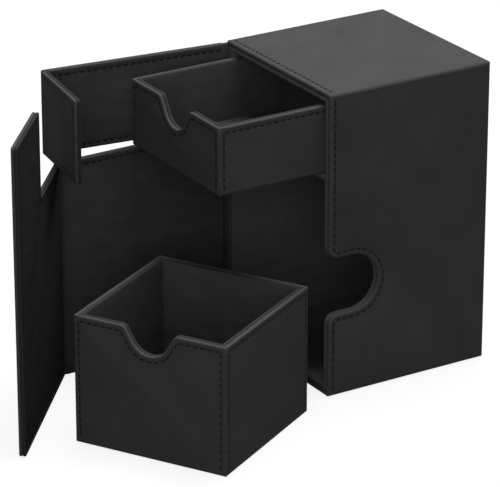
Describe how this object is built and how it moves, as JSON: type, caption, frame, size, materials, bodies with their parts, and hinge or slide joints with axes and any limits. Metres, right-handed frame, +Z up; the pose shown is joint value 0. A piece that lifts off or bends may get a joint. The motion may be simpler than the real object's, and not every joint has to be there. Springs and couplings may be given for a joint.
{
  "type": "deck case",
  "caption": "Leather-covered deck case with a drawer over a tray bay, a separate deck tray, and side-hung folding flaps with hidden magnets.",
  "frame": {"origin": "centre of the case's base, on the surface that it stands on", "axes": "+X across the opening towards the wall with the finger notch, +Y from the opening to the back, +Z up"},
  "size_m": [0.1474, 0.2407, 0.15],
  "materials": {
    "outer_skin": "matte black fine-grained leather-like skin on board",
    "lining": "matte black smooth microfibre on board",
    "hinge_skin": "matte black soft skin",
    "magnet": "nickel-plated",
    "steel": "plain sheet"
  },
  "bodies": {
    "case": {"case_back_lining": "lining", "case_back_panel": "outer_skin", "case_base_lining": "lining", "case_base_panel": "outer_skin", "case_far_side_lining": "lining", "case_far_side_panel": "outer_skin", "case_lower_high_plate": "steel", "case_lower_low_plate": "steel", "case_near_side_lining": "lining", "case_near_side_panel": "outer_skin", "case_top_lining": "lining", "case_top_panel": "outer_skin", "case_upper_plate": "steel", "drawer_shelf": "lining", "lower_flap_hinge_strip": "hinge_skin", "upper_flap_hinge_strip": "hinge_skin"},
    "drawer": {"drawer_back_lining": "lining", "drawer_back_panel": "outer_skin", "drawer_base_panel": "outer_skin", "drawer_far_lining": "lining", "drawer_far_panel": "outer_skin", "drawer_floor_lining": "lining", "drawer_front_lining": "lining", "drawer_front_panel": "outer_skin", "drawer_near_lining": "lining", "drawer_near_panel": "outer_skin"},
    "deck_tray": {"tray_back_lining": "lining", "tray_back_panel": "outer_skin", "tray_base_panel": "outer_skin", "tray_far_lining": "lining", "tray_far_panel": "outer_skin", "tray_floor_lining": "lining", "tray_front_lining": "lining", "tray_front_panel": "outer_skin", "tray_near_lining": "lining", "tray_near_panel": "outer_skin"},
    "upper_flap_front": {"upper_flap_fold_strip": "hinge_skin", "upper_flap_front_lining": "lining", "upper_flap_front_panel": "outer_skin"},
    "upper_flap_end": {"upper_flap_end_lining": "lining", "upper_flap_end_panel": "outer_skin", "upper_flap_magnet": "magnet"},
    "lower_flap_front": {"lower_flap_fold_strip": "hinge_skin", "lower_flap_front_lining": "lining", "lower_flap_front_panel": "outer_skin"},
    "lower_flap_end": {"lower_flap_end_lining": "lining", "lower_flap_end_panel": "outer_skin", "lower_flap_high_magnet": "magnet", "lower_flap_low_magnet": "magnet"}
  },
  "joints": [
    {"name": "drawer_slide", "type": "slide", "parent": "case", "child": "drawer", "axis": [0, -1, 0], "range_m": [-0.0553, 0.018]},
    {"name": "tray_slide", "type": "slide", "parent": "case", "child": "deck_tray", "axis": [0.5, -0.866, 0], "range_m": [-0.015, 0.1]},
    {"name": "upper_flap_hinge", "type": "hinge", "parent": "case", "child": "upper_flap_front", "pos_m": [-0.0441, -0.0461, 0.1284], "axis": [0, 0, -1], "range_deg": [-8.5, 95], "deforming": ["upper_flap_hinge_strip"]},
    {"name": "upper_flap_fold", "type": "hinge", "parent": "upper_flap_front", "child": "upper_flap_end", "pos_m": [-0.05487, -0.13641, 0.1284], "axis": [0, 0, -1], "range_deg": [-5, 88.4], "deforming": ["upper_flap_fold_strip"]},
    {"name": "lower_flap_hinge", "type": "hinge", "parent": "case", "child": "lower_flap_front", "pos_m": [-0.0441, -0.0461, 0.0538], "axis": [0, 0, -1], "range_deg": [-4, 100], "deforming": ["lower_flap_hinge_strip"]},
    {"name": "lower_flap_fold", "type": "hinge", "parent": "lower_flap_front", "child": "lower_flap_end", "pos_m": [-0.04283, -0.13704, 0.0538], "axis": [0, 0, -1], "range_deg": [-8, 48.9], "deforming": ["lower_flap_fold_strip"]}
  ]
}
